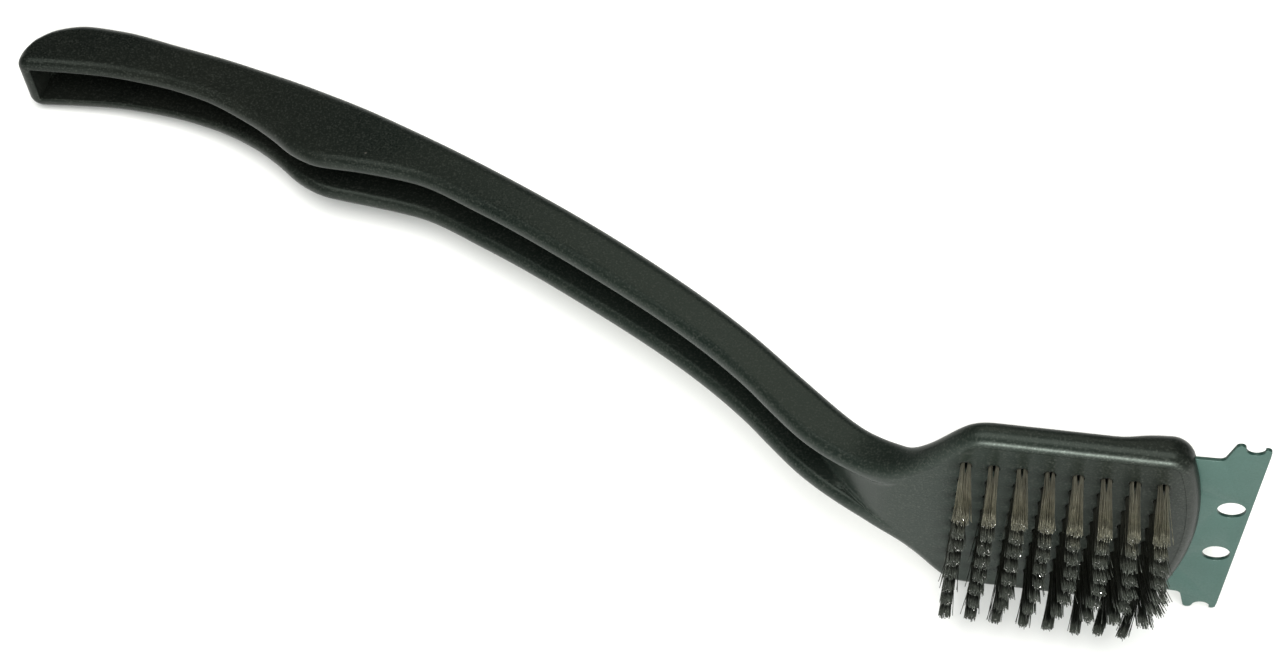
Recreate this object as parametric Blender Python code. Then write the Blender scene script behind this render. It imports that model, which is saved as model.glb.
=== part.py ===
"""Grill cleaning brush: a one-piece moulded handle and head, wire tufts held by anchor
strips, and a steel scraper plate moulded into the end of the head.

Every part is drawn in the head's own frame, in millimetres: the origin is the middle of
the tufted face, +x runs along the head to the scraper, +y to one side, and +z is the way
the tufts point. One empty, brush_frame, then lays the whole brush down on its side.
"""

import math

import bmesh
import bpy
import numpy as np
from mathutils import Matrix, Vector

MM = 0.001
GAP = 0.3

# Tufts: a square grid, each tuft folded round an anchor strip at the bottom of its hole.
PITCH = 8.3
TUFTS_EACH_WAY = 8
TUFT_HEIGHT = 19.4
TUFT_TIP_RADIUS = 2.4
TUFT_TIP_CHAMFER = 0.4
TUFT_STRAIGHT = 0.5
HOLE_RADIUS = 1.75
HOLE_DEPTH = 5.0
HOLE_SIDES = 8
ANCHOR_THICKNESS = 0.5
ANCHOR_TOP = -2.2
ANCHOR_BOTTOM = -4.0
LEG_SPLIT_TOP = 1.8
LINK_SIZE = 1.0
LINK_MIDDLE = -1.3
LINK_OVERLAP = 0.6
LINK_SLIT_OVERLAP = 0.85

# Head, seen along the tufts. A spine is where the sections of a rounded end all meet.
HEAD_END = 43.0
HEAD_SPINE = 24.0
HEAD_END_BOW = 122.0
HEAD_HALF_WIDTH = 43.0
HEAD_CORNER = 8.0
HANDLE_END = -381.0
HANDLE_END_CORNER = 5.0
HANDLE_SPINE = -373.0
LAST_SIDE_STATION = -376.0

# Section of the body: rounded outer edges and an open channel on the tuft side.
BACK_EDGE_RADIUS = 6.0
FACE_EDGE_SHARE = 0.48
BACK_EDGE_SHARE = 0.5
RIM_WIDTH = 4.0
WALL_DRAFT = 0.6
CHANNEL_FILLET = 2.0
CORNER_SHARE = 0.3
FLOOR_THICKNESS = 3.4
CHANNEL_START = -47.0
CHANNEL_FULL = -92.0
EDGE_STEPS = 3
MERGE_DISTANCE = 1e-4

# Side sections of the body as (from, to, how many), closer where its outline turns.
SIDE_SPANS = [
    (30, -22, 3), (-22, -54, 11), (-54, -100, 8), (-100, -220, 10),
    (-220, -300, 12), (-300, -350, 5), (-350, -376, 5),
]

# Outlines as (distance along the brush, value) with smooth curves between them.
HALF_WIDTHS = [
    (-381, 12.7), (-340, 11.8), (-308, 11.3), (-290, 10.6), (-268, 11.6), (-240, 13.0),
    (-200, 13.6), (-120, 13.7), (-80, 14.1), (-64, 15.2), (-54, 17.9), (-47, 22.4),
    (-39, 31.4), (-33.5, 38.3), (-29.5, 42.0), (-24, 43.0), (30, 43.0),
]
FACE_HEIGHTS = [
    (-381, -137.0), (-350, -138.2), (-330, -136.6), (-310, -132.4), (-290, -124.0),
    (-280, -117.8), (-270, -110.6), (-260, -106.7), (-245, -105.3), (-225, -102.6),
    (-200, -92.6), (-160, -72.3), (-120, -48.4), (-100, -33.2), (-90, -23.9), (-80, -15.2),
    (-70, -8.7), (-60, -3.8), (-50, -0.6), (-42, 0.0), (43, 0.0),
]
BACK_HEIGHTS = [
    (-381, -145.5), (-377, -151.6), (-370, -157.8), (-359, -160.8), (-346, -160.1),
    (-325, -156.0), (-290, -148.4), (-260, -138.2), (-230, -125.8), (-200, -112.2),
    (-160, -91.8), (-120, -67.6), (-100, -53.2), (-80, -36.4), (-60, -20.0), (-50, -13.9),
    (-43, -9.4), (-37, -8.1), (-31, -8.1), (-22, -8.7), (14, -8.7), (24, -11.0), (34, -11.8),
    (43, -11.8),
]
# Radii of the rim's outer edge and of its inner edge, along the body.
RIM_OUTER_RADII = [(-381, 3.6), (-60, 3.6), (-35, 1.5), (43, 1.5)]
RIM_INNER_RADII = [
    (-381, 0.8), (-340, 1.0), (-260, 3.0), (-60, 3.2), (-42, 0.8), (43, 0.8),
]

# Scraper plate, one side of its outline; the other side is its mirror image. Its corners
# are arcs as (centre x, centre y, radius, start and end in degrees, steps).
PLATE_THICKNESS = 1.2
PLATE_MIDDLE = -5.5
PLATE_TANG_START = 32.5
PLATE_TANG_HALF_WIDTH = 35.5
PLATE_NECK_START = 36.5
PLATE_NECK_HALF_WIDTH = 38.8
PLATE_EDGE = 57.3
PLATE_EDGE_HALF_WIDTH = 44.0
PLATE_NECK_FILLET = (43.2, 41.1, 2.0, 270, 340, 4)
PLATE_REAR_TIP = (48.3, 46.6, 1.5, 155, 15, 6)
PLATE_NOTCH = (52.6, 47.0, 2.8, 190, 340, 7)
PLATE_FRONT_TIP = (55.95, 46.05, 1.25, 125, -10, 5)
PLATE_HOLE = (51.6, 13.0)
PLATE_HOLE_RADIUS = 4.2
PLATE_HOLE_SIDES = 28
PEG = (37.6, 22.0)
PEG_RADIUS = 2.0
PEG_REACH = 2.0
PEG_SIDES = 16
CUTTER_REACH = 4.5

# The brush lies on its side: turned onto that side, then leaned until it touches down.
SIDE_TURN = 90.0
LEAN_ALONG = -6.8
LEAN_ACROSS = -2.5

PLASTIC = (0.018, 0.0175, 0.0165)
STEEL_BLUE = (0.12, 0.21, 0.18)
WIRE = (0.20, 0.165, 0.125)
ZINC = (0.32, 0.32, 0.31)


def clear_scene():
    for old in list(bpy.data.objects):
        bpy.data.objects.remove(old, do_unlink=True)


def material(name, colour, roughness, metallic):
    """A Principled material of one colour."""
    made = bpy.data.materials.new(name)
    made.use_nodes = True
    shader = made.node_tree.nodes["Principled BSDF"]
    shader.inputs["Base Color"].default_value = (*colour, 1.0)
    shader.inputs["Roughness"].default_value = roughness
    shader.inputs["Metallic"].default_value = metallic
    made.diffuse_color = (*colour, 1.0)
    return made


def smooth_through(points):
    """A smooth function through the points that never overshoots between two of them."""
    xs = np.array([p[0] for p in points], float)
    ys = np.array([p[1] for p in points], float)
    steps = np.diff(xs)
    slopes = np.diff(ys) / steps
    tangents = np.zeros(len(xs))
    tangents[0] = slopes[0]
    tangents[-1] = slopes[-1]
    for i in range(1, len(xs) - 1):
        before, after = slopes[i - 1], slopes[i]
        if before * after > 0:
            weight_before = 2 * steps[i] + steps[i - 1]
            weight_after = steps[i] + 2 * steps[i - 1]
            total = weight_before + weight_after
            tangents[i] = total / (weight_before / before + weight_after / after)

    def value(x):
        i = int(np.clip(np.searchsorted(xs, x) - 1, 0, len(steps) - 1))
        t = float(np.clip((x - xs[i]) / steps[i], 0, 1))
        return (
            ys[i] * (1 + 2 * t) * (1 - t) ** 2
            + tangents[i] * steps[i] * t * (1 - t) ** 2
            + ys[i + 1] * t * t * (3 - 2 * t)
            + tangents[i + 1] * steps[i] * t * t * (t - 1)
        )

    return value


half_width = smooth_through(HALF_WIDTHS)
face_height = smooth_through(FACE_HEIGHTS)
back_height = smooth_through(BACK_HEIGHTS)
rim_outer_radius = smooth_through(RIM_OUTER_RADII)
rim_inner_radius = smooth_through(RIM_INNER_RADII)


def channel_depth(x):
    """How far the channel's floor lies below the rims: nothing at the head."""
    t = float(np.clip((CHANNEL_START - x) / (CHANNEL_START - CHANNEL_FULL), 0, 1))
    ease = t * t * (3 - 2 * t)
    return ease * (face_height(x) - back_height(x) - FLOOR_THICKNESS)


def arc(centre_x, centre_y, radius, start, end, steps):
    """Points on an arc from one angle to another, in degrees."""
    angles = np.radians(np.linspace(start, end, steps + 1))
    return [
        (centre_x + radius * math.cos(a), centre_y + radius * math.sin(a)) for a in angles
    ]


def side_stations():
    """Where the body's side sections stand, from the head to the grip."""
    found = []
    for start, end, steps in SIDE_SPANS:
        found += [start + (end - start) * i / steps for i in range(steps)]
    return found + [LAST_SIDE_STATION]


def half_outline():
    """(x, y, spine x, corner) along one side, from the scraper end to the grip's end.

    A corner is the middle and the radius of the arc that the point stands on, where the
    arc is too tight for the channel's wall to follow it inside."""
    centre_y = HEAD_HALF_WIDTH - HEAD_CORNER
    bow_middle = HEAD_END - HEAD_END_BOW
    reach = math.sqrt((HEAD_END_BOW - HEAD_CORNER) ** 2 - centre_y**2)
    turn = math.degrees(math.atan2(centre_y, reach))
    bow = arc(bow_middle, 0, HEAD_END_BOW, 0, turn, 6)
    corner = arc(bow_middle + reach, centre_y, HEAD_CORNER, turn, 90, 5)[1:]
    points = [(x, y, HEAD_SPINE, None) for x, y in bow + corner]
    corner_start = points[-1][0]
    for x in side_stations():
        if x < corner_start - 1:
            points.append((x, half_width(x), min(x, HEAD_SPINE), None))
    last = half_width(HANDLE_END)
    end_centre = HANDLE_END + HANDLE_END_CORNER
    tight = (end_centre, last - HANDLE_END_CORNER, HANDLE_END_CORNER)
    points = [p for p in points if p[0] > end_centre + 0.5]
    points += [(x, y, max(x, HANDLE_SPINE), tight) for x, y in arc(*tight, 90, 180, 4)]
    return points + [(HANDLE_END, 0.0, HANDLE_SPINE, None)]


def edge_radii(x):
    """The radii of the section's outer edges, which share out the thickness at x."""
    depth = face_height(x) - back_height(x)
    face_radius = min(rim_outer_radius(x), FACE_EDGE_SHARE * depth)
    return face_radius, min(BACK_EDGE_RADIUS, BACK_EDGE_SHARE * depth)


def section(point, normal, spine_x, corner):
    """One section from the middle of the channel floor, over the rim, to the back."""
    x, y = point

    def at(inset):
        """The point this far inside the outline, or on the mitre of a tight corner."""
        if corner and inset > corner[2]:
            beyond = inset - corner[2]
            return corner[0] + beyond, corner[1] - beyond
        return x + normal[0] * inset, y + normal[1] * inset

    ring = [(spine_x, 0.0, face_height(spine_x) - channel_depth(spine_x))]
    rounding = rim_inner_radius(x)
    lip = RIM_WIDTH + rounding
    wall = lip + WALL_DRAFT
    for inset, share, rise in (
        (wall + CHANNEL_FILLET, 1, 0),
        (wall + CORNER_SHARE * CHANNEL_FILLET, 1, CORNER_SHARE * CHANNEL_FILLET),
        (wall, 1, CHANNEL_FILLET),
        (lip, 0, -rounding),
        (lip - CORNER_SHARE * rounding, 0, -CORNER_SHARE * rounding),
        (RIM_WIDTH, 0, 0),
    ):
        px, py = at(inset)
        depth = channel_depth(px)
        full = max(depth, rounding + CHANNEL_FILLET)
        ring.append((px, py, face_height(px) - (share * full - rise) * depth / full))
    face_radius, back_radius = edge_radii(x)
    turns = [math.pi / 2 * step / EDGE_STEPS for step in range(EDGE_STEPS + 1)]
    for angle in turns[::-1]:
        px, py = at(face_radius * (1 - math.cos(angle)))
        ring.append((px, py, face_height(px) - face_radius * (1 - math.sin(angle))))
    for angle in turns:
        px, py = at(back_radius * (1 - math.cos(angle)))
        ring.append((px, py, back_height(px) + back_radius * (1 - math.sin(angle))))
    ring.append((spine_x, 0.0, back_height(spine_x)))
    return ring


def body_mesh():
    """The moulded body as sections laid round its outline, both sides at once."""
    outline = half_outline()
    rings = []
    for i, (x, y, spine_x, corner) in enumerate(outline):
        if i == 0:
            normal = (-1.0, 0.0)
        elif i == len(outline) - 1:
            normal = (1.0, 0.0)
        else:
            before, after = outline[i - 1], outline[i + 1]
            dx, dy = after[0] - before[0], after[1] - before[1]
            length = math.hypot(dx, dy)
            normal = (-dy / length, dx / length)
        rings.append(section((x, y), normal, spine_x, corner))
    mesh = bmesh.new()
    for side in (1, -1):
        grid = [[mesh.verts.new((x, side * y, z)) for x, y, z in ring] for ring in rings]
        for first, second in zip(grid, grid[1:]):
            for j in range(len(first) - 1):
                mesh.faces.new((first[j], first[j + 1], second[j + 1], second[j]))
    bmesh.ops.remove_doubles(mesh, verts=mesh.verts, dist=MERGE_DISTANCE)
    bmesh.ops.dissolve_degenerate(mesh, edges=mesh.edges, dist=MERGE_DISTANCE)
    bmesh.ops.recalc_face_normals(mesh, faces=mesh.faces)
    return mesh


def add_box(mesh, low, high):
    size = [b - a for a, b in zip(low, high)]
    middle = [(a + b) / 2 for a, b in zip(low, high)]
    place = Matrix.Translation(middle) @ Matrix.Diagonal((*size, 1.0))
    bmesh.ops.create_cube(mesh, size=1.0, matrix=place)


def add_prism(mesh, outline, low, high):
    """An outline in x and y extruded from one height to another."""
    below = [mesh.verts.new((x, y, low)) for x, y in outline]
    above = [mesh.verts.new((x, y, high)) for x, y in outline]
    mesh.faces.new(below[::-1])
    mesh.faces.new(above)
    count = len(outline)
    for i in range(count):
        j = (i + 1) % count
        mesh.faces.new((below[i], below[j], above[j], above[i]))


def circle(centre_x, centre_y, radius, sides):
    return arc(centre_x, centre_y, radius, 0, 360, sides)[:-1]


def turned(centre_x, centre_y, radius, sides):
    """A circle of flats, with a flat and not a corner towards +x."""
    half = 180 / sides
    return arc(centre_x, centre_y, radius, half, 360 + half, sides)[:-1]


def to_object(name, mesh, look, parent, sharp=35):
    """Writes the mesh, in metres, to a named object under the brush's frame."""
    for vert in mesh.verts:
        vert.co *= MM
    data = bpy.data.meshes.new(name)
    mesh.to_mesh(data)
    mesh.free()
    data.materials.append(look)
    data.shade_smooth()
    data.set_sharp_from_angle(angle=math.radians(sharp))
    made = bpy.data.objects.new(name, data)
    bpy.context.collection.objects.link(made)
    made.parent = parent
    return made


def cutter(name, mesh, look, parent):
    made = to_object(name, mesh, look, parent)
    made.hide_render = True
    made.display_type = "WIRE"
    return made


def cut(target, tool, operation="DIFFERENCE"):
    modifier = target.modifiers.new(tool.name, "BOOLEAN")
    modifier.operation = operation
    modifier.solver = "EXACT"
    modifier.object = tool


def positions():
    """The grid's places along one side, from the handle to the scraper."""
    middle = (TUFTS_EACH_WAY - 1) / 2
    return [(i - middle) * PITCH for i in range(TUFTS_EACH_WAY)]


def tuft_outline(centre_x, radius):
    return turned(centre_x, 0, radius / math.cos(math.pi / HOLE_SIDES), HOLE_SIDES)


def add_tuft(mesh, centre_x):
    """One tuft: straight in its hole, then widening evenly to its cut end."""
    radius = HOLE_RADIUS - GAP
    levels = [
        (-HOLE_DEPTH + GAP, radius),
        (TUFT_STRAIGHT, radius),
        (TUFT_HEIGHT - TUFT_TIP_CHAMFER, TUFT_TIP_RADIUS),
        (TUFT_HEIGHT, TUFT_TIP_RADIUS - TUFT_TIP_CHAMFER),
    ]
    rings = [
        [mesh.verts.new((x, y, z)) for x, y in tuft_outline(centre_x, r)] for z, r in levels
    ]
    mesh.faces.new(rings[0][::-1])
    mesh.faces.new(rings[-1])
    for lower, upper in zip(rings, rings[1:]):
        for i in range(HOLE_SIDES):
            j = (i + 1) % HOLE_SIDES
            mesh.faces.new((lower[i], lower[j], upper[j], upper[i]))


def tuft_pair_mesh(look, parent):
    """Two neighbouring tufts with the link that joins them inside the head."""
    pair = bmesh.new()
    for x in (0, PITCH):
        add_tuft(pair, x)
    pair = to_object("tuft_pair_pattern", pair, look, parent)
    pair.hide_render = True
    link = bmesh.new()
    inner = HOLE_RADIUS - GAP - LINK_OVERLAP
    half = LINK_SIZE / 2
    add_box(link, (inner, -half, LINK_MIDDLE - half), (PITCH - inner, half, LINK_MIDDLE + half))
    split = bmesh.new()
    reach = ANCHOR_THICKNESS / 2 + GAP
    for x in (0, PITCH):
        low = (x - reach, -2 * HOLE_RADIUS, ANCHOR_BOTTOM - GAP)
        add_box(split, low, (x + reach, 2 * HOLE_RADIUS, LEG_SPLIT_TOP))
    link = cutter("link_pattern", link, look, parent)
    split = cutter("leg_split_cutter", split, look, parent)
    cut(pair, link, "UNION")
    cut(pair, split)
    graph = bpy.context.evaluated_depsgraph_get()
    data = bpy.data.meshes.new_from_object(pair.evaluated_get(graph))
    data.name = "tuft_pair"
    for used in (pair, link, split):
        bpy.data.objects.remove(used, do_unlink=True)
    return data


def make_tufts(look, parent):
    """Four pairs in each row, which runs from the handle to the scraper."""
    shared = tuft_pair_mesh(look, parent)
    places = positions()
    for row, y in enumerate(places, 1):
        for column in range(0, TUFTS_EACH_WAY, 2):
            name = f"tufts_row_{row}_columns_{column + 1}_{column + 2}"
            made = bpy.data.objects.new(name, shared)
            bpy.context.collection.objects.link(made)
            made.parent = parent
            made.location = (places[column] * MM, y * MM, 0)


def make_anchors(look, parent):
    """One strip through the eyes of each column of tufts, across the head."""
    reach = positions()[-1] + HOLE_RADIUS
    half = ANCHOR_THICKNESS / 2
    for column, x in enumerate(positions(), 1):
        strip = bmesh.new()
        add_box(strip, (-half, -reach, ANCHOR_BOTTOM), (half, reach, ANCHOR_TOP))
        made = to_object(f"anchor_strip_column_{column}", strip, look, parent)
        made.location = (x * MM, 0, 0)


def plate_half_outline(grow):
    """One side of the plate, from the tang's end to the scraping edge.

    A plate that is grown is the slot's shape, which needs no notched corner."""
    points = [
        (PLATE_TANG_START - grow, PLATE_TANG_HALF_WIDTH + grow),
        (PLATE_NECK_START, PLATE_NECK_HALF_WIDTH + grow),
    ]
    if grow:
        return points + [(PLATE_EDGE, PLATE_NECK_HALF_WIDTH + grow)]
    for corner in (PLATE_NECK_FILLET, PLATE_REAR_TIP, PLATE_NOTCH, PLATE_FRONT_TIP):
        points += arc(*corner)
    return points + [(PLATE_EDGE, PLATE_EDGE_HALF_WIDTH)]


def plate_outline(grow=0.0):
    side = plate_half_outline(grow)
    return [(x, -y) for x, y in side] + [(x, y) for x, y in side[::-1]]


def make_plate(look, parent):
    plate = bmesh.new()
    half = PLATE_THICKNESS / 2
    add_prism(plate, plate_outline(), PLATE_MIDDLE - half, PLATE_MIDDLE + half)
    plate = to_object("scraper_plate", plate, look, parent)
    holes = bmesh.new()
    low, high = PLATE_MIDDLE - CUTTER_REACH, PLATE_MIDDLE + CUTTER_REACH
    for side in (1, -1):
        hole = circle(PLATE_HOLE[0], side * PLATE_HOLE[1], PLATE_HOLE_RADIUS, PLATE_HOLE_SIDES)
        add_prism(holes, hole, low, high)
        add_prism(holes, circle(PEG[0], side * PEG[1], PEG_RADIUS + GAP, PEG_SIDES), low, high)
    cut(plate, cutter("plate_hole_cutter", holes, look, parent))


def slot_mesh():
    """The space that the plate's tang takes in the head, before the pegs are left in it."""
    slot = bmesh.new()
    half = PLATE_THICKNESS / 2 + GAP
    add_prism(slot, plate_outline(GAP), PLATE_MIDDLE - half, PLATE_MIDDLE + half)
    return slot


def make_body(look, parent):
    body = to_object("moulded_handle_and_head", body_mesh(), look, parent, sharp=50)
    places = positions()
    holes = bmesh.new()
    corner = HOLE_RADIUS / math.cos(math.pi / HOLE_SIDES)
    for x in places:
        for y in places:
            add_prism(holes, turned(x, y, corner, HOLE_SIDES), -HOLE_DEPTH, HOLE_DEPTH)
    slits = bmesh.new()
    reach = places[-1] + HOLE_RADIUS + GAP
    half = ANCHOR_THICKNESS / 2 + GAP
    for x in places:
        low = (x - half, -reach, ANCHOR_BOTTOM - GAP)
        add_box(slits, low, (x + half, reach, ANCHOR_TOP + GAP))
    links = bmesh.new()
    half = LINK_SIZE / 2 + GAP
    inner = HOLE_RADIUS - LINK_SLIT_OVERLAP
    for y in places:
        for x in places[::2]:
            low = (x + inner, y - half, LINK_MIDDLE - half)
            add_box(links, low, (x + PITCH - inner, y + half, LINK_MIDDLE + half))
    slot = cutter("plate_slot_cutter", slot_mesh(), look, parent)
    pegs = bmesh.new()
    for side in (1, -1):
        peg = circle(PEG[0], side * PEG[1], PEG_RADIUS, PEG_SIDES)
        add_prism(pegs, peg, PLATE_MIDDLE - PEG_REACH, PLATE_MIDDLE + PEG_REACH)
    cut(slot, cutter("peg_pattern", pegs, look, parent))
    cut(body, cutter("tuft_hole_cutter", holes, look, parent))
    cut(body, cutter("anchor_slit_cutter", slits, look, parent))
    cut(body, cutter("link_slit_cutter", links, look, parent))
    cut(body, slot)


def lay_down(frame):
    """Turns the brush onto its side and stands its box on the origin."""
    lean = Matrix.Rotation(math.radians(LEAN_ACROSS), 4, "Y")
    lean @= Matrix.Rotation(math.radians(LEAN_ALONG + SIDE_TURN), 4, "X")
    frame.matrix_world = lean
    bpy.context.view_layer.update()
    graph = bpy.context.evaluated_depsgraph_get()
    corners = []
    for part in frame.children:
        if not part.hide_render:
            solid = part.evaluated_get(graph)
            corners += [solid.matrix_world @ vert.co for vert in solid.data.vertices]
    low = Vector(map(min, zip(*corners)))
    high = Vector(map(max, zip(*corners)))
    middle = (low + high) / 2
    frame.matrix_world = Matrix.Translation((-middle.x, -middle.y, -low.z)) @ lean


def main():
    clear_scene()
    frame = bpy.data.objects.new("brush_frame", None)
    bpy.context.collection.objects.link(frame)
    plastic = material("black_plastic", PLASTIC, roughness=0.42, metallic=0.0)
    steel = material("blue_grey_steel", STEEL_BLUE, roughness=0.5, metallic=0.35)
    wire = material("bristle_wire", WIRE, roughness=0.38, metallic=0.85)
    zinc = material("anchor_wire", ZINC, roughness=0.35, metallic=1.0)
    make_body(plastic, frame)
    make_plate(steel, frame)
    make_tufts(wire, frame)
    make_anchors(zinc, frame)
    lay_down(frame)


main()
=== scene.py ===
import math
import random

import bmesh
import bpy
import numpy as np
from mathutils import Matrix, Vector


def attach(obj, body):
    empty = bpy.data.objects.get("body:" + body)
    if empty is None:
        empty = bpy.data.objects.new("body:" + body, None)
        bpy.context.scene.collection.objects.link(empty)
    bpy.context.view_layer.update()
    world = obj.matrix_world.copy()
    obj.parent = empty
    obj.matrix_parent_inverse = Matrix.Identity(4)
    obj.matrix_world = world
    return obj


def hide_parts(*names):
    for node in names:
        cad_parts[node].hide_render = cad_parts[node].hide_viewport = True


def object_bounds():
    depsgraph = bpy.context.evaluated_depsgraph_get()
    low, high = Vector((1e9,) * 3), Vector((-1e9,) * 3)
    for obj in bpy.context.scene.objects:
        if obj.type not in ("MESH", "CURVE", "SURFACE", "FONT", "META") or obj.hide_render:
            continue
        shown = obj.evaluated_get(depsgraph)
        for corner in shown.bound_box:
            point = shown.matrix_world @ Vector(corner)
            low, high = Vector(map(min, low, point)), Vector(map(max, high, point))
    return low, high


# The looks of the grill cleaning brush. Shapes are drawn in millimetres in the head's own
# frame, which is read from where the tuft nodes stand: the origin is the middle of the
# tufted face, +x runs along the head to the scraper, +y across, +z the way the tufts point.

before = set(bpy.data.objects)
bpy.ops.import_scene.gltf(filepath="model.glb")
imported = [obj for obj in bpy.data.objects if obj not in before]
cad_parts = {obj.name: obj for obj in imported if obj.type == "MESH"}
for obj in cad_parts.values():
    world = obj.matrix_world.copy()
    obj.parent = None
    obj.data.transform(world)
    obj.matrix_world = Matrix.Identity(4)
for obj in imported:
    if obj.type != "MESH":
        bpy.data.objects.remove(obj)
cad_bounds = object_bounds()

MM = 0.001

# Tufts, on a square grid.
PITCH = 8.3
TUFTS_EACH_WAY = 8
TUFT_HEIGHT = 19.4
HOLE_RADIUS = 1.75
HOLE_DEPTH = 5.0
HOLE_SIDES = 20
HOLE_RIM = 0.22

# Wires: each is one length folded under its anchor, so it has two cut ends.
WIRE_RADIUS = 0.12
WIRE_SIDES = 5
WIRES_EACH_TUFT = 38
FOLD_BOTTOM = -4.55
FOLD_RISE = 0.35
FOLD_SHOULDER = (0.55, 0.25)
LEG_GAP = 0.5
LEG_WALL_GAP = 0.08
LEG_LEVELS = (-3.6, -2.0, 0.0, 2.0, 4.0, 6.0, 9.0, 12.5, 16.0, TUFT_HEIGHT)
MERGED_HEIGHT = 6.0
CUT_SLANT = 0.7

# Spread of the tufts. Row 1 is the one nearest the floor and column 1 the one nearest the
# handle. A lean is how far a tuft's tip stands towards the scraper.
TIP_RADII = (2.75, 2.7, 2.55, 2.2, 2.3, 2.4, 2.25, 2.6)
TIP_SHARE_BY_ROW = (0.70, 0.78, 0.80, 0.80, 0.80, 0.82, 0.86, 1.0)
EXTRA_SPREAD_AT_SCRAPER = 0.4
LEAN_AT_FLOOR_SIDE = -0.9
FIRST_ROW_LEANS = (-0.3, -1.1, -1.5, -1.3, -1.7, -1.3, -2.7, -3.5)
SPLAY_BY_ROW = (0.6, 3.2, 5.0, 5.2, 4.0, 2.2, 0.9, 0.0)

# How unevenly the wires lie, as standard deviations, and the few that stray outside.
TIP_SCATTER = (0.30, 0.22)
HEIGHT_SCATTER = 0.30
BOW_SCATTER = 0.16
LEAN_SCATTER = (0.15, 0.25)
STRAY_CHANCE = 0.05
STRAY_SIZES = (0.6, 1.0)
STRAY_REACH = 2.0

# World places, in metres, between which painted light and shade change: painted shade darkens the
# wires below the top row, painted light lightens their feet and painted shade dulls them towards
# their tips, and painted light brightens the plastic towards the head and fades again at the
# scraper end.
SHADED_ROW_HEIGHTS = (0.0690, 0.0735)
LIT_FOOT_PLACES = (-0.0790, -0.0700)
SHADED_TIP_PLACES = (-0.0875, -0.0790)
HEAD_LIGHT_PLACES = (-0.14, 0.02)
HEAD_LIGHT_FADE_PLACES = (0.13, 0.20)

# Anchors: a short piece of flat wire across each hole.
ANCHOR_THICKNESS = 0.5
ANCHOR_TOP = -2.2
ANCHOR_BOTTOM = -4.0
ANCHOR_BITE = 0.35
ANCHOR_ROUNDING = 0.2
ANCHOR_SHARP_ANGLE = 40

# Body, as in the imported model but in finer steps, with its head a little wider and the
# head's rim rounder.
HEAD_END = 43.0
HEAD_SPINE = 24.0
HEAD_END_BOW = 122.0
HEAD_HALF_WIDTH = 43.7
HEAD_CORNER = 8.0
HANDLE_END = -381.0
HANDLE_END_CORNER = 5.0
HANDLE_SPINE = -373.0
BACK_EDGE_RADIUS = 6.0
FACE_EDGE_SHARE = 0.48
BACK_EDGE_SHARE = 0.5
RIM_WIDTH = 4.0
WALL_DRAFT = 0.6
CHANNEL_FILLET = 2.0
FLOOR_THICKNESS = 3.4
CHANNEL_START = -47.0
CHANNEL_FULL = -92.0
STATION_STEP = 1.25
END_STEPS = 17
HEAD_CORNER_STEPS = 13
GRIP_CORNER_STEPS = 11
FLOOR_STEPS = 8
FILLET_STEPS = 6
LIP_STEPS = 8
RIM_STEPS = 9
SIDE_STEPS = 4
BACK_STEPS = 8
MERGE_DISTANCE = 2e-4
BODY_SHARP_ANGLE = 38
FAIRING = 1.5
HALF_WIDTHS = [
    (-381, 12.7), (-340, 11.8), (-308, 11.3), (-290, 10.6), (-268, 11.6), (-240, 13.0),
    (-200, 13.6), (-120, 13.7), (-80, 14.1), (-64, 15.2), (-54, 17.9), (-47, 22.4),
    (-39, 31.5), (-33.5, 38.6), (-29.5, 42.4), (-24, 43.7), (30, 43.7),
]
FACE_HEIGHTS = [
    (-381, -137.0), (-350, -138.2), (-330, -136.6), (-310, -132.4), (-290, -124.0),
    (-280, -117.8), (-270, -110.6), (-260, -106.7), (-245, -105.3), (-225, -102.6),
    (-200, -92.6), (-160, -72.3), (-120, -48.4), (-100, -33.2), (-90, -23.9), (-80, -15.2),
    (-70, -8.7), (-60, -3.8), (-50, -0.6), (-42, 0.0), (43, 0.0),
]
BACK_HEIGHTS = [
    (-381, -145.5), (-377, -151.6), (-370, -157.8), (-359, -160.8), (-346, -160.1),
    (-325, -156.0), (-290, -148.4), (-260, -138.2), (-230, -125.8), (-200, -112.2),
    (-160, -91.8), (-120, -67.6), (-100, -53.2), (-80, -36.4), (-60, -20.0), (-50, -13.9),
    (-43, -9.4), (-37, -8.1), (-31, -8.1), (-22, -8.7), (14, -8.7), (24, -11.0), (34, -11.8),
    (43, -11.8),
]
# Radii of the rim's outer edge and of its inner edge, along the body.
RIM_OUTER_RADII = [(-381, 3.6), (-60, 3.6), (-35, 4.2), (43, 4.2)]
RIM_INNER_RADII = [
    (-381, 0.8), (-340, 1.0), (-260, 3.0), (-60, 3.2), (-42, 0.8), (43, 0.8),
]

# Scraper plate, one side of its outline; its corners are arcs as (centre x, centre y,
# radius, start and end in degrees).
PLATE_THICKNESS = 1.2
PLATE_MIDDLE = -5.5
PLATE_TANG_START = 32.5
PLATE_TANG_HALF_WIDTH = 35.5
PLATE_NECK_START = 36.5
PLATE_NECK_HALF_WIDTH = 38.8
PLATE_EDGE = 57.3
PLATE_EDGE_HALF_WIDTH = 44.0
PLATE_NECK_FILLET = (43.2, 41.1, 2.0, 270, 340)
PLATE_REAR_TIP = (48.3, 46.6, 1.5, 155, 15)
PLATE_NOTCH = (52.6, 47.0, 2.8, 190, 340)
PLATE_FRONT_TIP = (55.95, 46.05, 1.25, 125, -10)
PLATE_HOLE = (51.6, 13.0)
PLATE_HOLE_RADIUS = 4.2
PEG = (37.6, 22.0)
PEG_RADIUS = 2.0
PLATE_ROUNDING = 0.14
PLATE_SHARP_ANGLE = 30
PLATE_HOLE_STEP = 5
SLOT_GAP = 0.3
ARC_STEP = 9

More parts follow.
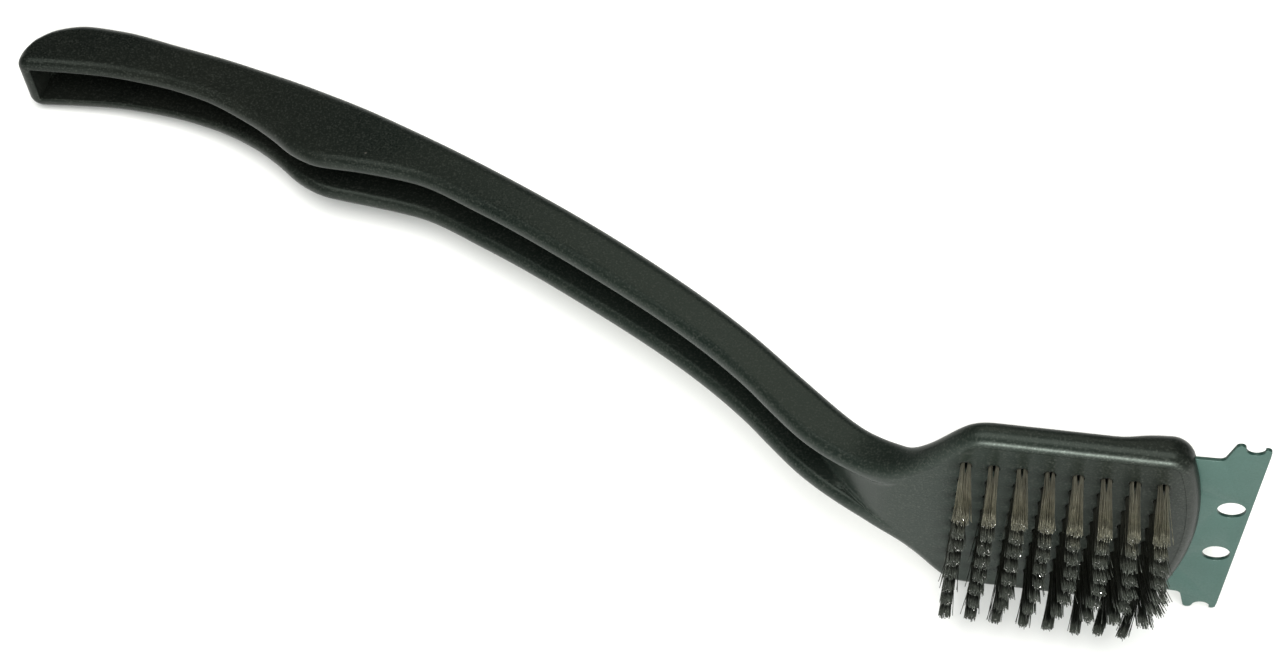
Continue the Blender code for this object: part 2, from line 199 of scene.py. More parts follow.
# Camera: where it stands, what it looks at and how far it is rolled, in metres and degrees.
CAMERA_PLACE = (0.08345, -0.34379, 0.65263)
CAMERA_TARGET = (0.02388, -0.01738, 0.045)
CAMERA_ROLL = -1.807
CAMERA_LENS = 59.77
SENSOR_WIDTH = 36

# Lights: name, place, what it faces, width and height, watts, colour.
LIGHTS = [
    (
        "front_key", (0.26, -1.25, 0.29), (0.16053, -0.068694, 0.046452),
        (0.46, 0.22), 28, (1.0, 1.0, 0.98),
    ),
    ("front_strip", (-0.25, -1.25, 0.30), (-0.05, 0, 0.06), (0.9, 0.3), 2.2, (1.0, 1.0, 0.98)),
    ("overhead", (-0.05, -0.30, 1.7), (0, 0, 0), (1.6, 1.2), 34, (1.0, 0.985, 0.96)),
    ("back_glow", (0.04, 0.43, 0.60), (0.08, -0.03, 0.09), (0.42, 0.42), 1.35, (1.0, 0.97, 0.88)),
]
BACKDROP_COLOUR = (0.86, 1.0, 0.95, 1)
BACKDROP_STRENGTH = 0.16
FLOOR_SIZE = 4.0
FLOOR_GAP = 0.0002


# ---------------------------------------------------------------- the head's own frame

def node_points(name):
    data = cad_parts[name].data
    flat = np.zeros(len(data.vertices) * 3, np.float32)
    data.vertices.foreach_get("co", flat)
    return flat.reshape(-1, 3).astype(float)


def tuft_node(row, column):
    """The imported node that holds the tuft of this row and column, counted from 1."""
    first = column - (column - 1) % 2
    return f"tufts_row_{row}_columns_{first}_{first + 1}"


def head_frame():
    """Placement of the head's frame in the world, from the tuft nodes at rest."""
    last = TUFTS_EACH_WAY
    corner = node_points(tuft_node(1, 1)).mean(0)
    along = Vector(node_points(tuft_node(1, last)).mean(0) - corner).normalized()
    across = Vector(node_points(tuft_node(last, 1)).mean(0) - corner)
    up = along.cross(across).normalized()
    across = up.cross(along)
    points = np.concatenate([
        node_points(tuft_node(row, column))
        for row in range(1, last + 1) for column in range(1, last + 1, 2)
    ])
    axes = np.array([along, across, up])
    spread = points @ axes.T
    middle = (spread.min(0) + spread.max(0)) / 2
    origin = axes.T @ np.array([middle[0], middle[1], spread[:, 2].max() - TUFT_HEIGHT * MM])
    place = Matrix((along, across, up)).transposed().to_4x4()
    place.translation = Vector(origin)
    return place


HEAD = head_frame()


def to_world(points):
    """Points in millimetres in the head's frame, as an array in metres in the world."""
    turn = np.array(HEAD.to_3x3())
    return np.asarray(points, float) * MM @ turn.T + np.array(HEAD.translation)


# ---------------------------------------------------------------- helpers

def arc(centre_x, centre_y, radius, start, end, step=ARC_STEP):
    """Points on an arc from one angle to another, in degrees."""
    count = max(2, math.ceil(abs(end - start) / step))
    angles = np.radians(np.linspace(start, end, count + 1))
    return [
        (centre_x + radius * math.cos(a), centre_y + radius * math.sin(a)) for a in angles
    ]


def circle(centre_x, centre_y, radius, step=ARC_STEP):
    return arc(centre_x, centre_y, radius, 0, 360, step)[:-1]


def add_piece(name, data, look, slot, *nodes):
    """Shows a mesh, given in world metres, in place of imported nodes."""
    piece = bpy.data.objects.new(name, data)
    bpy.context.scene.collection.objects.link(piece)
    if not data.materials:
        for one in look if isinstance(look, (list, tuple)) else [look]:
            data.materials.append(one)
    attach(piece, "root")
    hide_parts(*nodes)
    return piece


def mesh_in_world(mesh, name):
    """Ends a bmesh drawn in millimetres in the head's frame."""
    for vert in mesh.verts:
        vert.co *= MM
    mesh.transform(HEAD)
    data = bpy.data.meshes.new(name)
    mesh.to_mesh(data)
    mesh.free()
    return data


def add_prism(mesh, outline, low, high):
    """An outline in x and y extruded from one height to another."""
    below = [mesh.verts.new((x, y, low)) for x, y in outline]
    above = [mesh.verts.new((x, y, high)) for x, y in outline]
    mesh.faces.new(below[::-1])
    mesh.faces.new(above)
    count = len(outline)
    for i in range(count):
        j = (i + 1) % count
        mesh.faces.new((below[i], below[j], above[j], above[i]))


def hidden_tool(name, mesh):
    """A cutter, which is removed again once it has been used."""
    tool = bpy.data.objects.new(name, mesh_in_world(mesh, name))
    bpy.context.scene.collection.objects.link(tool)
    return tool


def cut_away(target, *tools):
    """Cuts each tool from the target's mesh and removes the tools."""
    for tool in tools:
        modifier = target.modifiers.new(tool.name, "BOOLEAN")
        modifier.operation = "DIFFERENCE"
        modifier.solver = "EXACT"
        modifier.object = tool
    graph = bpy.context.evaluated_depsgraph_get()
    result = bpy.data.meshes.new_from_object(target.evaluated_get(graph))
    target.modifiers.clear()
    target.data = result
    for tool in tools:
        bpy.data.objects.remove(tool, do_unlink=True)
    return result


# ---------------------------------------------------------------- materials

class Look:
    """A Principled material with a few helpers for its nodes."""

    def __init__(self, name, roughness, metallic, specular=0.5):
        self.made = bpy.data.materials.new(name)
        self.made.use_nodes = True
        self.tree = self.made.node_tree
        self.shader = self.tree.nodes["Principled BSDF"]
        self.shader.inputs["Roughness"].default_value = roughness
        self.shader.inputs["Metallic"].default_value = metallic
        self.shader.inputs["Specular IOR Level"].default_value = specular
        self.coords = self.tree.nodes.new("ShaderNodeTexCoord").outputs["Object"]

    def link(self, output, target):
        self.tree.links.new(output, target)

    def stretched(self, scale, turn=(0, 0, 0)):
        """Object coordinates with their own scale on each axis."""
        mapping = self.tree.nodes.new("ShaderNodeMapping")
        mapping.inputs["Scale"].default_value = scale
        mapping.inputs["Rotation"].default_value = turn
        self.link(self.coords, mapping.inputs["Vector"])
        return mapping.outputs["Vector"]

    def noise(self, scale, detail=3.0, roughness=0.5, vector=None):
        node = self.tree.nodes.new("ShaderNodeTexNoise")
        node.inputs["Scale"].default_value = scale
        node.inputs["Detail"].default_value = detail
        node.inputs["Roughness"].default_value = roughness
        self.link(vector or self.coords, node.inputs["Vector"])
        return node.outputs["Fac"]

    def cells(self, scale, vector=None):
        """(distance to the nearest cell's middle, that cell's own random value)"""
        node = self.tree.nodes.new("ShaderNodeTexVoronoi")
        node.inputs["Scale"].default_value = scale
        self.link(vector or self.coords, node.inputs["Vector"])
        split = self.tree.nodes.new("ShaderNodeSeparateColor")
        self.link(node.outputs["Color"], split.inputs["Color"])
        return node.outputs["Distance"], split.outputs["Red"]

    def ramp(self, value, start, end, low=0.0, high=1.0):
        """The value from start to end, spread over low to high and clamped."""
        node = self.tree.nodes.new("ShaderNodeMapRange")
        node.inputs["From Min"].default_value = start
        node.inputs["From Max"].default_value = end
        node.inputs["To Min"].default_value = low
        node.inputs["To Max"].default_value = high
        self.link(value, node.inputs["Value"])
        return node.outputs["Result"]

    def math(self, operation, first, second):
        node = self.tree.nodes.new("ShaderNodeMath")
        node.operation = operation
        for socket, value in zip(node.inputs, (first, second)):
            if isinstance(value, (int, float)):
                socket.default_value = value
            else:
                self.link(value, socket)
        return node.outputs["Value"]

    def mix(self, share, first, second):
        """A colour between two, each a colour or another node's output."""
        node = self.tree.nodes.new("ShaderNodeMix")
        node.data_type = "RGBA"
        self.link(share, node.inputs["Factor"])
        for socket, value in ((node.inputs["A"], first), (node.inputs["B"], second)):
            if isinstance(value, tuple):
                socket.default_value = (*value, 1.0)
            else:
                self.link(value, socket)
        return node.outputs["Result"]

    def place(self, axis):
        """Where each point stands along one world axis, in metres."""
        split = self.tree.nodes.new("ShaderNodeSeparateXYZ")
        self.link(self.coords, split.inputs["Vector"])
        return split.outputs[axis]

    def pointiness(self):
        return self.tree.nodes.new("ShaderNodeNewGeometry").outputs["Pointiness"]

    def bump(self, height, strength, distance):
        node = self.tree.nodes.new("ShaderNodeBump")
        node.inputs["Strength"].default_value = strength
        node.inputs["Distance"].default_value = distance
        self.link(height, node.inputs["Height"])
        last = self.shader.inputs["Normal"]
        if last.is_linked:
            self.link(last.links[0].from_socket, node.inputs["Normal"])
        self.link(node.outputs["Normal"], last)

    def colour(self, output):
        self.link(output, self.shader.inputs["Base Color"])

    def roughness(self, output):
        self.link(output, self.shader.inputs["Roughness"])


def plastic_look():
    """Near-black moulded plastic: satin grain, cloudy patches, specks, and painted light that
    brightens it towards the head.
    """
    look = Look("black_plastic_grain", 0.38, 0.0, specular=0.17)
    look.shader.inputs["Specular Tint"].default_value = (0.86, 1.0, 0.89, 1.0)
    clouds = look.noise(26, detail=5, roughness=0.6)
    grain = look.noise(1500, detail=2)
    pits = look.noise(900, detail=2)
    base = look.mix(
        look.ramp(clouds, 0.35, 0.68), (0.0042, 0.0053, 0.0044), (0.0070, 0.0080, 0.0064)
    )
    # Painted light: the plastic is made lighter and greener towards the head, and the ramps below
    # fade it back at the scraper end.
    head_light_colour = look.mix(
        look.ramp(clouds, 0.3, 0.7), (0.0062, 0.0095, 0.0078), (0.0084, 0.0115, 0.0092)
    )
    starts = look.ramp(look.place("X"), *HEAD_LIGHT_PLACES)
    ends = look.ramp(look.place("X"), *HEAD_LIGHT_FADE_PLACES, 1.0, 0.0)
    base = look.mix(look.math("MULTIPLY", starts, ends), base, head_light_colour)
    base = look.mix(look.ramp(grain, 0.50, 0.75, 0.0, 0.6), base, (0.036, 0.039, 0.034))
    distance, chance = look.cells(330)
    speck = look.math("LESS_THAN", distance, 0.14)
    speck = look.math("MULTIPLY", speck, look.math("GREATER_THAN", chance, 0.985))
    base = look.mix(speck, base, (0.055, 0.053, 0.047))
    edge = look.ramp(look.pointiness(), 0.53, 0.64, 0.0, 0.35)
    look.colour(look.mix(edge, base, (0.017, 0.018, 0.016)))
    rough = look.ramp(clouds, 0.3, 0.7, 0.31, 0.37)
    look.roughness(look.math("ADD", rough, look.ramp(grain, 0.3, 0.7, -0.06, 0.06)))
    look.bump(pits, 0.18, 0.00010)
    look.bump(grain, 0.50, 0.00006)
    return look.made


def plate_look():
    """Coated steel sheet: blue-green grey, faintly mottled, with light rubbing scratches."""
    look = Look("coated_steel_sheet", 0.45, 0.35)
    clouds = look.noise(60, detail=4, roughness=0.6)
    mottle = look.noise(1500, detail=3, roughness=0.65)
    base = look.mix(
        look.ramp(clouds, 0.3, 0.7), (0.017, 0.050, 0.040), (0.021, 0.058, 0.047)
    )
    base = look.mix(look.ramp(mottle, 0.35, 0.7, 0.0, 0.5), base, (0.013, 0.041, 0.033))
    along = look.stretched((5200, 260, 260), (0.3, 0.1, 0.2))
    rubbed = look.noise(1.0, detail=2, vector=along)
    base = look.mix(look.ramp(rubbed, 0.68, 0.8, 0.0, 0.22), base, (0.11, 0.165, 0.145))
    look.colour(base)
    rough = look.ramp(mottle, 0.3, 0.7, 0.38, 0.52)
    look.roughness(look.math("ADD", rough, look.ramp(rubbed, 0.6, 0.8, 0.0, -0.08)))
    look.bump(mottle, 0.22, 0.00003)
    look.bump(rubbed, 0.10, 0.00002)
    return look.made


def punched_edge_look():
    """The sheet's sheared edge under its coating: smooth and torn in bands round it."""
    look = Look("punched_steel_edge", 0.42, 0.35)
    streaks = look.noise(1.0, detail=3, vector=look.stretched((3000, 500, 3000)))
    look.colour(look.mix(
        look.ramp(streaks, 0.3, 0.7), (0.038, 0.085, 0.070), (0.075, 0.13, 0.11)
    ))
    look.roughness(look.ramp(streaks, 0.3, 0.7, 0.34, 0.52))
    look.bump(streaks, 0.35, 0.00004)
    return look.made


def wire_look():
    """Drawn wire, greyish brown in heat- and grease-coloured patches; painted shade darkens the
    lower rows and the tips, and painted light lightens the feet.
    """
    look = Look("bristle_wire_drawn", 0.38, 0.85)
    patches = look.noise(420, detail=3, roughness=0.6)
    fine = look.noise(4200, detail=2)
    base = look.mix(
        look.ramp(patches, 0.32, 0.68), (0.110, 0.106, 0.077), (0.235, 0.226, 0.168)
    )
    base = look.mix(look.ramp(fine, 0.55, 0.8, 0.0, 0.35), base, (0.50, 0.46, 0.37))
    # Painted light: the wires are lightened at their feet, near the face.
    foot_light = look.ramp(look.place("Y"), *LIT_FOOT_PLACES, 0.0, 0.35)
    base = look.mix(foot_light, base, (0.52, 0.50, 0.41))
    # Painted shade: the wires are darkened towards their tips.
    tip_shade = look.ramp(look.place("Y"), *SHADED_TIP_PLACES, 0.8, 0.0)
    base = look.mix(tip_shade, base, (0.036, 0.040, 0.034))
    # Painted shade: the wires below the top row are darkened.
    lower_row_shade = look.ramp(look.place("Z"), *SHADED_ROW_HEIGHTS, 0.8, 0.0)
    look.colour(look.mix(lower_row_shade, base, (0.038, 0.044, 0.038)))
    look.roughness(look.ramp(patches, 0.3, 0.7, 0.46, 0.32))
    look.bump(fine, 0.2, 0.00002)
    return look.made


def cut_end_look():
    """The wires' sheared ends: most are dull, and a few are bright."""
    look = Look("bristle_wire_cut", 0.4, 0.9)
    marks = look.noise(9000, detail=2)
    dull = look.mix(look.ramp(marks, 0.3, 0.7), (0.008, 0.009, 0.008), (0.024, 0.026, 0.022))
    _, chance = look.cells(3000)
    bright = look.ramp(chance, 0.90, 0.92)
    look.colour(look.mix(bright, dull, (0.93, 0.91, 0.88)))
    rough = look.ramp(marks, 0.3, 0.7, 0.38, 0.5)
    shine = look.ramp(chance, 0.90, 0.92, 0.0, -0.2)
    look.roughness(look.math("ADD", rough, shine))
    look.bump(marks, 0.2, 0.00002)
    return look.made


def anchor_look():
    """Flat galvanised wire."""
    look = Look("anchor_wire_zinc", 0.36, 1.0)
    bloom = look.noise(1600, detail=3, roughness=0.6)
    look.colour(look.mix(look.ramp(bloom, 0.3, 0.7), (0.33, 0.34, 0.35), (0.52, 0.52, 0.51)))
    look.roughness(look.ramp(bloom, 0.3, 0.7, 0.28, 0.46))
    look.bump(bloom, 0.15, 0.00002)
    return look.made


def floor_look():
    look = Look("pale_floor", 0.75, 0.0, specular=0.25)
    cloud = look.noise(3.0, detail=3)
    look.colour(look.mix(look.ramp(cloud, 0.3, 0.7), (0.89, 0.90, 0.89), (0.92, 0.925, 0.92)))
    return look.made


# ---------------------------------------------------------------- body

def smooth_through(points):
    """A smooth function through the points that never overshoots between two of them."""
    xs = np.array([p[0] for p in points], float)
    ys = np.array([p[1] for p in points], float)
    steps = np.diff(xs)
    slopes = np.diff(ys) / steps
    tangents = np.zeros(len(xs))
    tangents[0] = slopes[0]
    tangents[-1] = slopes[-1]
    for i in range(1, len(xs) - 1):
        before, after = slopes[i - 1], slopes[i]
        if before * after > 0:
            weight_before = 2 * steps[i] + steps[i - 1]
            weight_after = steps[i] + 2 * steps[i - 1]
            total = weight_before + weight_after
            tangents[i] = total / (weight_before / before + weight_after / after)

    def value(x):
        i = np.clip(np.searchsorted(xs, x) - 1, 0, len(steps) - 1)
        t = np.clip((x - xs[i]) / steps[i], 0, 1)
        return (
            ys[i] * (1 + 2 * t) * (1 - t) ** 2
            + tangents[i] * steps[i] * t * (1 - t) ** 2
            + ys[i + 1] * t * t * (3 - 2 * t)
            + tangents[i + 1] * steps[i] * t * t * (t - 1)
        )

    return value


def faired(points):
    """The curve through the points with its changes of curvature eased out."""
    step = 0.5
    reach = 4 * FAIRING
    curve = smooth_through(points)
    xs = np.arange(points[0][0], points[-1][0] + step / 2, step)
    ys = curve(xs)
    count = int(reach / step)
    before = ys[0] - (ys[1] - ys[0]) * np.arange(count, 0, -1)
    after = ys[-1] + (ys[-1] - ys[-2]) * np.arange(1, count + 1)
    weights = np.exp(-0.5 * (np.arange(-count, count + 1) * step / FAIRING) ** 2)
    eased = np.convolve(np.concatenate([before, ys, after]), weights / weights.sum(), "valid")
    return lambda x: float(np.interp(x, xs, eased))


half_width = faired(HALF_WIDTHS)
face_height = faired(FACE_HEIGHTS)
back_height = faired(BACK_HEIGHTS)
rim_outer_radius = faired(RIM_OUTER_RADII)
rim_inner_radius = faired(RIM_INNER_RADII)


def channel_depth(x):
    """How far the channel's floor lies below the rims: nothing at the head."""
    t = float(np.clip((CHANNEL_START - x) / (CHANNEL_START - CHANNEL_FULL), 0, 1))
    ease = t * t * (3 - 2 * t)
    return ease * (face_height(x) - back_height(x) - FLOOR_THICKNESS)


class Station:
    """A point on the body's outline with the section that stands there."""

    def __init__(self, x, y, normal, spine_x, corner=None):
        self.x, self.y = x, y
        self.normal = normal
        self.spine_x = spine_x
        self.corner = corner

    def inset(self, distance):
        """The point this far inside the outline. Inside a tight corner it stays on its mitre."""
        if self.corner:
            centre_x, centre_y, radius, inward = self.corner
            if distance > radius:
                beyond = distance - radius
                return centre_x + inward * beyond, centre_y - beyond
        return self.x + self.normal[0] * distance, self.y + self.normal[1] * distance


def outline_stations():
    """Stations along one side, from the scraper end to the grip's end."""
    centre_y = HEAD_HALF_WIDTH - HEAD_CORNER
    bow_middle = HEAD_END - HEAD_END_BOW
    reach = math.sqrt((HEAD_END_BOW - HEAD_CORNER) ** 2 - centre_y**2)
    turn = math.degrees(math.atan2(centre_y, reach))
    stations = []
    for angle in np.linspace(0, turn, END_STEPS):
        a = math.radians(angle)
        out = (math.cos(a), math.sin(a))
        point = (bow_middle + HEAD_END_BOW * out[0], HEAD_END_BOW * out[1])
        stations.append(Station(*point, (-out[0], -out[1]), HEAD_SPINE))
    for angle in np.linspace(turn, 90, HEAD_CORNER_STEPS)[1:]:
        a = math.radians(angle)
        out = (math.cos(a), math.sin(a))
        point = (bow_middle + reach + HEAD_CORNER * out[0], centre_y + HEAD_CORNER * out[1])
        stations.append(Station(*point, (-out[0], -out[1]), HEAD_SPINE))
    first = stations[-1].x - STATION_STEP
    end_centre = HANDLE_END + HANDLE_END_CORNER
    count = round((first - end_centre) / STATION_STEP)
    for x in np.linspace(first, end_centre, count + 1)[:-1]:
        slope = (half_width(x + 0.25) - half_width(x - 0.25)) / 0.5
        length = math.hypot(1, slope)
        normal = (slope / length, -1 / length)
        stations.append(Station(x, half_width(x), normal, min(x, HEAD_SPINE)))
    last = half_width(end_centre)
    corner = (end_centre, last - HANDLE_END_CORNER, HANDLE_END_CORNER, 1)
    for angle in np.linspace(90, 180, GRIP_CORNER_STEPS):
        a = math.radians(angle)
        out = (math.cos(a), math.sin(a))
        point = (corner[0] + corner[2] * out[0], corner[1] + corner[2] * out[1])
        spine = max(point[0], HANDLE_SPINE)
        stations.append(Station(*point, (-out[0], -out[1]), spine, corner))
    for share in (0.66, 0.33, 0.0):
        stations.append(Station(HANDLE_END, corner[1] * share, (1, 0), HANDLE_SPINE))
    return stations


def section(station):
    """A station's section: channel floor, wall, rim, outer side, back."""
    rounding = rim_inner_radius(station.x)
    lip = RIM_WIDTH + rounding
    wall = lip + WALL_DRAFT

    def sunk(point, share, rise):
        """A point of the channel, which grows shallow towards the head as a whole."""
        depth = channel_depth(point[0])
        full = max(depth, rounding + CHANNEL_FILLET)
        return (*point, face_height(point[0]) - (share * full - rise) * depth / full)

    ring = []
    fillet_start = station.inset(wall + CHANNEL_FILLET)
    for i in range(FLOOR_STEPS):
        share = i / FLOOR_STEPS
        px = station.spine_x + (fillet_start[0] - station.spine_x) * share
        ring.append(sunk((px, fillet_start[1] * share), 1, 0))
    for i in range(FILLET_STEPS + 1):
        a = math.pi / 2 * i / FILLET_STEPS
        point = station.inset(wall + CHANNEL_FILLET * (1 - math.sin(a)))
        ring.append(sunk(point, 1, CHANNEL_FILLET * (1 - math.cos(a))))
    for i in range(LIP_STEPS + 1):
        a = math.pi / 2 * (1 - i / LIP_STEPS)
        point = station.inset(lip - rounding * (1 - math.sin(a)))
        ring.append(sunk(point, 0, -rounding * (1 - math.cos(a))))
    thickness = face_height(station.x) - back_height(station.x)
    face_radius = min(rim_outer_radius(station.x), FACE_EDGE_SHARE * thickness)
    back_radius = min(BACK_EDGE_RADIUS, BACK_EDGE_SHARE * thickness)
    for i in range(RIM_STEPS + 1):
        a = math.pi / 2 * (1 - i / RIM_STEPS)
        px, py = station.inset(face_radius * (1 - math.cos(a)))
        ring.append((px, py, face_height(px) - face_radius * (1 - math.sin(a))))
    top, bottom = ring[-1][2], back_height(station.x) + back_radius
    for i in range(1, SIDE_STEPS):
        ring.append((station.x, station.y, top + (bottom - top) * i / SIDE_STEPS))
    for i in range(RIM_STEPS + 1):
        a = math.pi / 2 * i / RIM_STEPS
        px, py = station.inset(back_radius * (1 - math.cos(a)))
        ring.append((px, py, back_height(px) + back_radius * (1 - math.sin(a))))
    back_start = station.inset(back_radius)
    for i in range(1, BACK_STEPS + 1):
        share = 1 - i / BACK_STEPS
        px = station.spine_x + (back_start[0] - station.spine_x) * share
        ring.append((px, back_start[1] * share, back_height(px)))
    return ring


def body_surface():
    rings = [section(station) for station in outline_stations()]
    mesh = bmesh.new()
    for side in (1, -1):
        grid = [[mesh.verts.new((x, side * y, z)) for x, y, z in ring] for ring in rings]
        for first, second in zip(grid, grid[1:]):
            for j in range(len(first) - 1):
                mesh.faces.new((first[j], first[j + 1], second[j + 1], second[j]))
    bmesh.ops.remove_doubles(mesh, verts=mesh.verts, dist=MERGE_DISTANCE)
    bmesh.ops.dissolve_degenerate(mesh, edges=mesh.edges, dist=MERGE_DISTANCE)
    bmesh.ops.recalc_face_normals(mesh, faces=mesh.faces)
    return mesh


def grid_places():
    middle = (TUFTS_EACH_WAY - 1) / 2
    return [(i - middle) * PITCH for i in range(TUFTS_EACH_WAY)]


def hole_cutter():
    """The tufts' holes, each with a slightly broken rim."""
    mesh = bmesh.new()
    levels = [
        (-HOLE_DEPTH, HOLE_RADIUS - HOLE_RIM), (-HOLE_DEPTH + HOLE_RIM, HOLE_RADIUS),
        (-HOLE_RIM, HOLE_RADIUS), (0, HOLE_RADIUS + HOLE_RIM), (1, HOLE_RADIUS + HOLE_RIM),
    ]
    for x in grid_places():
        for y in grid_places():
            rings = [
                [mesh.verts.new((*p, z)) for p in circle(x, y, r, 360 / HOLE_SIDES)]
                for z, r in levels
            ]
            mesh.faces.new(rings[0][::-1])
            mesh.faces.new(rings[-1])
            for lower, upper in zip(rings, rings[1:]):
                for i in range(HOLE_SIDES):
                    j = (i + 1) % HOLE_SIDES
                    mesh.faces.new((lower[i], lower[j], upper[j], upper[i]))
    return hidden_tool("tuft_hole_cutter", mesh)


def slot_cutter():
    """The scraper's slot, with two pegs left standing in it."""
    mesh = bmesh.new()
    low = PLATE_MIDDLE - PLATE_THICKNESS / 2 - SLOT_GAP
    high = PLATE_MIDDLE + PLATE_THICKNESS / 2 + SLOT_GAP
    side = [
        (PLATE_TANG_START - SLOT_GAP, PLATE_TANG_HALF_WIDTH + SLOT_GAP),
        (PLATE_NECK_START, PLATE_NECK_HALF_WIDTH + SLOT_GAP),
        (PLATE_EDGE, PLATE_NECK_HALF_WIDTH + SLOT_GAP),
    ]
    add_prism(mesh, [(x, -y) for x, y in side] + [(x, y) for x, y in side[::-1]], low, high)
    slot = hidden_tool("plate_slot_cutter", mesh)
    pegs = bmesh.new()
    for way in (1, -1):
        add_prism(pegs, circle(PEG[0], way * PEG[1], PEG_RADIUS), low - 1, high + 1)
    cut_away(slot, hidden_tool("peg_pattern", pegs))
    return slot


def make_body():
    data = mesh_in_world(body_surface(), "brush_body")
    body = bpy.data.objects.new("body_blank", data)
    bpy.context.scene.collection.objects.link(body)
    result = cut_away(body, hole_cutter(), slot_cutter())
    bpy.data.objects.remove(body, do_unlink=True)
    result.name = "brush_body"
    result.materials.clear()
    result.shade_smooth()
    result.set_sharp_from_angle(angle=math.radians(BODY_SHARP_ANGLE))
    return add_piece(
        "brush_body", result, plastic_look(), "black_plastic", "moulded_handle_and_head"
    )


# ---------------------------------------------------------------- scraper plate

def plate_outline():
    side = [
        (PLATE_TANG_START, PLATE_TANG_HALF_WIDTH), (PLATE_NECK_START, PLATE_NECK_HALF_WIDTH),
    ]
    for corner in (PLATE_NECK_FILLET, PLATE_REAR_TIP, PLATE_NOTCH, PLATE_FRONT_TIP):
        side += arc(*corner)
    side.append((PLATE_EDGE, PLATE_EDGE_HALF_WIDTH))
    return [(x, -y) for x, y in side] + [(x, y) for x, y in side[::-1]]


def make_plate():
    """The plate, as a flat curve with rounded rims round its outline and its holes."""
    curve = bpy.data.curves.new("scraper_outline", "CURVE")
    curve.dimensions = "2D"
    curve.fill_mode = "BOTH"
    curve.extrude = (PLATE_THICKNESS / 2 - PLATE_ROUNDING) * MM
    curve.bevel_depth = PLATE_ROUNDING * MM
    curve.bevel_resolution = 2
    curve.offset = -PLATE_ROUNDING * MM
    loops = [plate_outline()]
    for way in (1, -1):
        loops.append(circle(PLATE_HOLE[0], way * PLATE_HOLE[1], PLATE_HOLE_RADIUS, PLATE_HOLE_STEP))
        loops.append(circle(PEG[0], way * PEG[1], PEG_RADIUS + SLOT_GAP))
    for loop in loops:
        spline = curve.splines.new("POLY")
        spline.points.add(len(loop) - 1)
        for point, (x, y) in zip(spline.points, loop):
            point.co = (x * MM, y * MM, 0, 1)
        spline.use_cyclic_u = True
    drawn = bpy.data.objects.new("scraper_drawn", curve)
    bpy.context.scene.collection.objects.link(drawn)
    graph = bpy.context.evaluated_depsgraph_get()
    data = bpy.data.meshes.new_from_object(drawn.evaluated_get(graph))
    bpy.data.objects.remove(drawn, do_unlink=True)
    mesh = bmesh.new()
    mesh.from_mesh(data)
    bmesh.ops.remove_doubles(mesh, verts=mesh.verts, dist=1e-7)
    bmesh.ops.recalc_face_normals(mesh, faces=mesh.faces)
    mesh.normal_update()
    for face in mesh.faces:
        face.material_index = 0 if abs(face.normal.z) > 0.5 else 1
    mesh.transform(HEAD @ Matrix.Translation((0, 0, PLATE_MIDDLE * MM)))
    mesh.to_mesh(data)
    mesh.free()
    data.materials.clear()
    data.shade_smooth()
    data.set_sharp_from_angle(angle=math.radians(PLATE_SHARP_ANGLE))
    looks = [plate_look(), punched_edge_look()]
    return add_piece("scraper", data, looks, "blue_grey_steel", "scraper_plate")


# ---------------------------------------------------------------- tufts

def tubes(paths, radius, sides, tilt_seed):
    """(points, side faces, end faces) of round wires along paths of equal point counts."""
    tilts = random.Random(tilt_seed)
    points, walls, ends = [], [], []
    for path in paths:
        path = np.asarray(path)
        count = len(path)
        tangents = np.gradient(path, axis=0)
        tangents /= np.linalg.norm(tangents, axis=1)[:, None]
        across = np.cross(tangents[0], (0.3, 0.9, 0.1))
        base = len(points)
        for i in range(count):
            across = across - tangents[i] * (across @ tangents[i])
            across /= np.linalg.norm(across)
            other = np.cross(tangents[i], across)
            slant = tilts.uniform(-CUT_SLANT, CUT_SLANT) * radius if i in (0, count - 1) else 0.0
            for k in range(sides):
                a = 2 * math.pi * k / sides
                out = math.cos(a) * across + math.sin(a) * other
                points.append(path[i] + radius * out + slant * math.cos(a) * tangents[i])
        for i in range(count - 1):
            for k in range(sides):
                n = (k + 1) % sides
                low, high = base + i * sides, base + (i + 1) * sides
                walls.append((low + k, low + n, high + n, high + k))
        last = base + (count - 1) * sides
        ends.append(tuple(range(base + sides - 1, base - 1, -1)))
        ends.append(tuple(range(last, last + sides)))
    return points, walls, ends


def leg_start(draw):
    """Where a wire stands in one leg, at the hole's mouth: inside a half circle."""
    most = HOLE_RADIUS - WIRE_RADIUS - LEG_WALL_GAP
    while True:
        x, y = draw.uniform(LEG_GAP, most), draw.uniform(-most, most)
        if math.hypot(x, y) < most:
            return x, y


def leg_path(draw, start, tip_radius, lean, stray):
    """One leg from the fold to its cut end: beside its twin at first, then merging."""
    sx, sy = start
    most = HOLE_RADIUS - WIRE_RADIUS
    spread = tip_radius / most
    share_out = (abs(sx) - LEG_GAP) / (most - LEG_GAP)
    merged = math.copysign(share_out * most, sx)
    tip_x = merged * spread + draw.gauss(0, TIP_SCATTER[0])
    tip_y = sy * spread + draw.gauss(0, TIP_SCATTER[1])
    height = TUFT_HEIGHT + draw.gauss(0.05, HEIGHT_SCATTER)
    if stray:
        way = draw.uniform(0, 2 * math.pi)
        tip_x += STRAY_REACH * stray * math.cos(way)
        tip_y += STRAY_REACH * stray * math.sin(way)
        height -= draw.uniform(0.3, 1.6)
    bow = draw.gauss(0, BOW_SCATTER), draw.gauss(0, BOW_SCATTER)
    points = []
    for level in LEG_LEVELS:
        share = max(level, 0.0) / TUFT_HEIGHT
        opened = share**1.15
        bend = share**1.7
        wave = math.sin(math.pi * share)
        closing = min(max(level, 0.0) / MERGED_HEIGHT, 1.0)
        closing = closing * closing * (3 - 2 * closing)
        near = sx + (merged - sx) * closing
        x = near + (tip_x - merged) * opened + lean[0] * bend + bow[0] * wave
        y = sy + (tip_y - sy) * opened + lean[1] * bend + bow[1] * wave
        rise = height * share if level > 0 else level
        points.append((x, y, rise))
    return points


